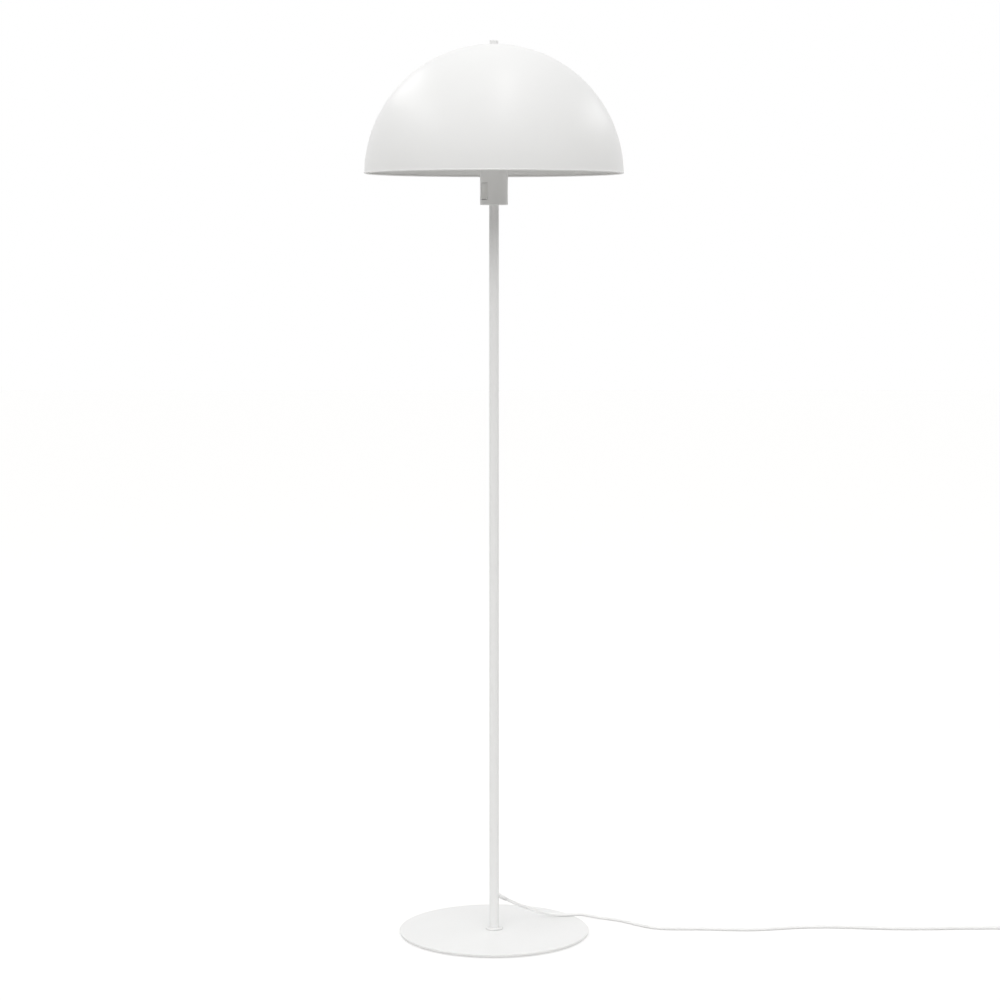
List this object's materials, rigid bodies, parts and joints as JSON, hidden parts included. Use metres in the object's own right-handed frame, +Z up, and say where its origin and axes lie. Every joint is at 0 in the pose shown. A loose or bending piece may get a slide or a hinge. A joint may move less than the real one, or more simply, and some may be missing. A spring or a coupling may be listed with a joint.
{
  "type": "floor lamp",
  "caption": "Floor lamp with a hemispherical dome shade on a slim pole, a rocker switch in the cup under the shade, a round flat base and a coiled cord.",
  "frame": {"origin": "on the floor, under the centre of the base and on the pole's axis", "axes": "+Z up along the pole; the lamp is seen from -Y; the cord runs to +X; the switch faces between -X and -Y"},
  "size_m": [1.1228, 0.4071, 1.4],
  "materials": {
    "white_coat": "satin white powder coat",
    "white_cord": "matt soft plastic",
    "white_gloss": "polished white moulding",
    "white_moulding": "moulded insulator",
    "opal": "opal diffuser",
    "black_insulator": "glassy black insulator",
    "plated_steel": "bright zinc plating",
    "brass": "plain brass",
    "grey_rubber": "soft translucent pad",
    "black_plastic": "matt black",
    "brown_core": "core insulation",
    "blue_core": "core insulation"
  },
  "bodies": {
    "stand": {"base_pads": "grey_rubber", "base_plate": "white_coat", "centre_contact": "brass", "cord": "white_cord", "cord_bushing": "white_cord", "cord_coil": "white_cord", "cord_tail": "white_cord", "cup_nut": "plated_steel", "cup_washer": "plated_steel", "foot_insert": "plated_steel", "foot_screw": "plated_steel", "harp_arm_left": "plated_steel", "harp_arm_right": "plated_steel", "harp_foot": "plated_steel", "harp_plate": "plated_steel", "holder_base": "white_moulding", "holder_core": "white_moulding", "holder_shell": "white_moulding", "inner_lead": "white_cord", "line_contact": "brass", "line_core": "brown_core", "load_contact": "brass", "neutral_core": "blue_core", "pin_sleeves": "black_plastic", "plug_body": "white_cord", "plug_pins": "brass", "pole": "white_coat", "pole_collar": "white_coat", "screw_shell": "brass", "shade": "white_coat", "shade_ring": "white_moulding", "shade_stud": "plated_steel", "shade_washer": "grey_rubber", "side_contact": "brass", "socket_cup": "white_coat", "switch_frame": "white_gloss", "switched_core": "brown_core", "terminal_blocks": "brass", "terminal_screws": "plated_steel", "threaded_nipple": "plated_steel", "top_insert": "plated_steel"},
    "rocker": {"rocker": "white_gloss", "switch_plunger": "black_plastic", "switch_spring": "plated_steel"},
    "contact_bridge": {"contact_bridge": "brass"},
    "finial_washer": {"finial_washer": "grey_rubber"},
    "finial": {"finial": "white_coat"},
    "bulb_tip": {"bulb_tip": "plated_steel"},
    "bulb": {"bulb_insulator": "black_insulator", "bulb_cap": "plated_steel", "bulb_housing": "white_moulding", "bulb_globe": "opal"}
  },
  "joints": [
    {"name": "rocker_tilt", "type": "hinge", "parent": "stand", "child": "rocker", "pos_m": [-0.01202, -0.01202, 1.17], "axis": [0.7071, -0.7071, 0], "range_deg": [0, 14]},
    {"name": "bridge_tilt", "type": "hinge", "parent": "stand", "child": "contact_bridge", "pos_m": [-0.00728, -0.00728, 1.17], "axis": [0.7071, -0.7071, 0], "range_deg": [-9.3, 0]},
    {"name": "finial_rise", "type": "slide", "parent": "stand", "child": "finial_washer", "axis": [0, 0, 1], "range_m": [0, 0.0045]},
    {"name": "finial_turn", "type": "hinge", "parent": "finial_washer", "child": "finial", "pos_m": [0, 0, 1.397], "axis": [0, 0, 1], "range_deg": [0, 1625]},
    {"name": "bulb_rise", "type": "slide", "parent": "stand", "child": "bulb_tip", "axis": [0, 0, 1], "range_m": [0, 0.01815]},
    {"name": "bulb_turn", "type": "hinge", "parent": "bulb_tip", "child": "bulb", "pos_m": [0, 0, 1.25], "axis": [0, 0, 1], "range_deg": [0, 1805]}
  ],
  "couplings": [
    {"joint": "bridge_tilt", "follows": "rocker_tilt", "ratio": -0.657},
    {"joint": "finial_turn", "follows": "finial_rise", "rad_per_m": 6283.2},
    {"joint": "bulb_turn", "follows": "bulb_rise", "rad_per_m": 1730.9}
  ]
}
